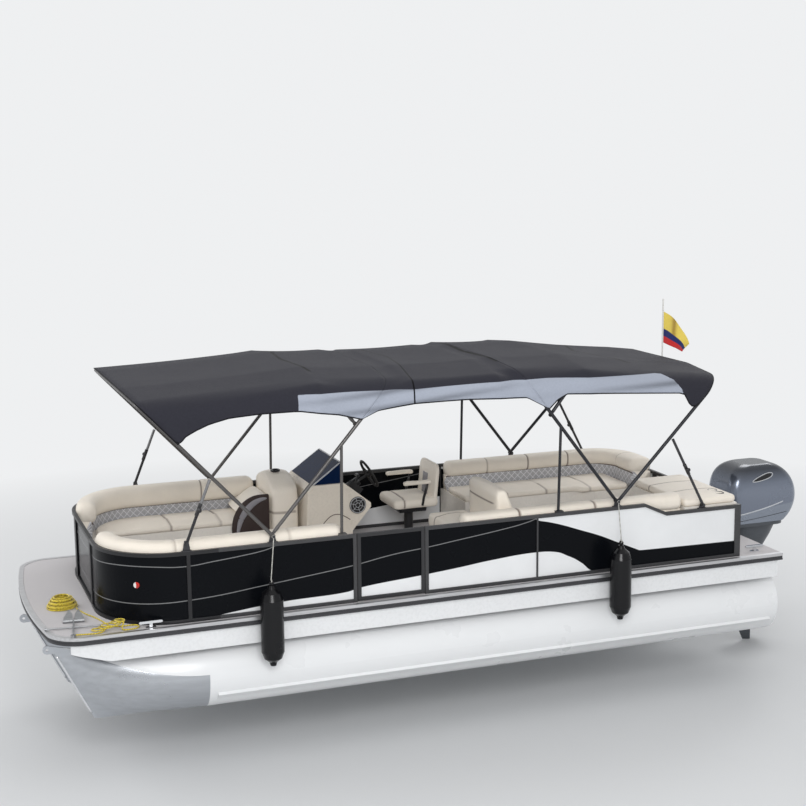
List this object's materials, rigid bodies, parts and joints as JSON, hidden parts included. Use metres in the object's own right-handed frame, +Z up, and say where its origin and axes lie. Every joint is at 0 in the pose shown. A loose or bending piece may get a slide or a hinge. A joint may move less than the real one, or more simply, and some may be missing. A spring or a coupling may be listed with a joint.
{
  "type": "pontoon boat",
  "caption": "Flat-decked leisure boat on tubes, with fenced seating, gates, helm, folding fabric sun tops and a tilting outboard.",
  "frame": {"origin": "waterline on the centreline, amidships", "axes": "+X towards the bow, +Y to port, +Z up"},
  "size_m": [8.0502, 2.7902, 3.757],
  "materials": {
    "tube_skin": "gloss",
    "bare_aluminium": "satin",
    "rail_trim": "satin",
    "deck_cover": "matt",
    "fence_frame": "satin",
    "fence_panel": "gloss",
    "seat_shell": "satin",
    "upholstery": "satin",
    "helm_shell": "gloss",
    "black_plastic": "satin",
    "screen": "gloss",
    "bow_tube": "satin",
    "bracket_metal": "satin",
    "canopy_cloth": "matt",
    "cowl_paint": "gloss",
    "galvanised": "satin",
    "fender_skin": "gloss",
    "rope": "matt",
    "flag_cloth": "matt",
    "lamp": "gloss"
  },
  "bodies": {
    "hull": {"tube_port": "tube_skin", "tube_centre": "tube_skin", "tube_starboard": "tube_skin", "cross_members": "bare_aluminium", "side_skirts": "bare_aluminium", "motor_pod": "bare_aluminium", "deck": "deck_cover", "rub_rail": "rail_trim", "fence_port": "fence_frame", "fence_starboard": "fence_frame", "panels_port": "fence_panel", "panels_starboard": "fence_panel", "gate_hinges": "bare_aluminium", "lounge_bases_port": "seat_shell", "lounge_bases_starboard": "seat_shell", "stern_locker": "seat_shell", "cushions_port": "upholstery", "cushions_starboard": "upholstery", "backrests_port": "upholstery", "backrests_starboard": "upholstery", "tower_backrest": "upholstery", "chaise": "upholstery", "sun_pad": "upholstery", "console": "helm_shell", "dash": "black_plastic", "windscreen": "screen", "pedestal": "black_plastic", "front_fixed_bow": "bow_tube", "rear_fixed_bow": "bow_tube", "top_brackets": "bracket_metal", "canopy_front": "canopy_cloth", "canopy_middle": "canopy_cloth", "canopy_rear": "canopy_cloth", "clamp_bracket": "bracket_metal", "cleats": "bare_aluminium", "fenders": "fender_skin", "fender_lines": "rope", "anchor": "galvanised", "anchor_rope": "rope", "rope_heap": "rope", "bow_light": "lamp"},
    "bow_gate": {"bow_gate": "fence_frame"},
    "side_gate": {"side_gate": "fence_frame"},
    "stern_gate": {"stern_gate": "fence_frame"},
    "steering_wheel": {"steering_wheel": "black_plastic"},
    "helm_seat": {"helm_seat": "upholstery"},
    "front_end_bow": {"front_end_bow": "bow_tube"},
    "front_mid_bow": {"front_mid_bow": "bow_tube"},
    "front_strut": {"front_strut": "bow_tube"},
    "rear_end_bow": {"rear_end_bow": "bow_tube", "flag_staff": "bracket_metal", "flag": "flag_cloth"},
    "rear_mid_bow": {"rear_mid_bow": "bow_tube"},
    "rear_strut": {"rear_strut": "bow_tube"},
    "motor_tilt": {"swivel_bracket": "bracket_metal"},
    "motor_steer": {"motor_leg": "cowl_paint", "cowl": "cowl_paint"},
    "propeller": {"propeller": "bracket_metal"}
  },
  "joints": [
    {"name": "bow_gate_hinge", "type": "hinge", "parent": "hull", "child": "bow_gate", "pos_m": [3.131, 0.44, 0.6], "axis": [0, 0, -1], "range_deg": [0, 88]},
    {"name": "side_gate_hinge", "type": "hinge", "parent": "hull", "child": "side_gate", "pos_m": [0.958, 1.177, 0.6], "axis": [0, 0, 1], "range_deg": [0, 88]},
    {"name": "stern_gate_hinge", "type": "hinge", "parent": "hull", "child": "stern_gate", "pos_m": [-2.907, 0.14, 0.6], "axis": [0, 0, 1], "range_deg": [0, 88]},
    {"name": "helm_seat_swivel", "type": "hinge", "parent": "hull", "child": "helm_seat", "pos_m": [-0.23, -0.7, 0.9], "axis": [0, 0, 1], "range_deg": [-90, 90]},
    {"name": "motor_tilt", "type": "hinge", "parent": "hull", "child": "motor_tilt", "pos_m": [-3.47, 0, 0.46], "axis": [0, 1, 0], "range_deg": [0, 48]},
    {"name": "motor_steering", "type": "hinge", "parent": "motor_tilt", "child": "motor_steer", "pos_m": [-3.62, 0, 0.3], "axis": [0, 0, 1], "range_deg": [-30, 30]},
    {"name": "steering_wheel_turn", "type": "hinge", "parent": "hull", "child": "steering_wheel", "pos_m": [0.175, -0.75, 1.269], "axis": [-0.8813, 0, 0.4726], "range_deg": [-540, 540]},
    {"name": "propeller_spin", "type": "hinge", "parent": "motor_steer", "child": "propeller", "pos_m": [-4.01, 0, -0.5], "axis": [1, 0, 0], "continuous": true},
    {"name": "front_end_bow_fold", "type": "hinge", "parent": "hull", "child": "front_end_bow", "pos_m": [1.722, 0, 1.26], "axis": [0, -1, 0], "range_deg": [0, 80], "deforming": ["canopy_front"]},
    {"name": "front_mid_bow_fold", "type": "hinge", "parent": "hull", "child": "front_mid_bow", "pos_m": [0.93538, 0, 2.16488], "axis": [0, -1, 0], "range_deg": [0, 72], "deforming": ["canopy_front"]},
    {"name": "front_strut_fold", "type": "hinge", "parent": "hull", "child": "front_strut", "pos_m": [2.47, 0, 1.275], "axis": [0, -1, 0], "range_deg": [0, 64]},
    {"name": "rear_end_bow_fold", "type": "hinge", "parent": "hull", "child": "rear_end_bow", "pos_m": [-1.606, 0, 1.252], "axis": [0, 1, 0], "range_deg": [0, 77], "deforming": ["canopy_rear"]},
    {"name": "rear_mid_bow_fold", "type": "hinge", "parent": "hull", "child": "rear_mid_bow", "pos_m": [-0.94704, 0, 2.10767], "axis": [0, 1, 0], "range_deg": [0, 69.3], "deforming": ["canopy_rear"]},
    {"name": "rear_strut_fold", "type": "hinge", "parent": "hull", "child": "rear_strut", "pos_m": [-2.524, 0, 1.13], "axis": [0, 1, 0], "range_deg": [0, 53]}
  ],
  "couplings": [
    {"joint": "steering_wheel_turn", "follows": "motor_steering", "ratio": 18},
    {"joint": "front_mid_bow_fold", "follows": "front_end_bow_fold", "ratio": 0.9},
    {"joint": "front_strut_fold", "follows": "front_end_bow_fold", "ratio": 0.8},
    {"joint": "rear_mid_bow_fold", "follows": "rear_end_bow_fold", "ratio": 0.9},
    {"joint": "rear_strut_fold", "follows": "rear_end_bow_fold", "ratio": 0.6883}
  ]
}
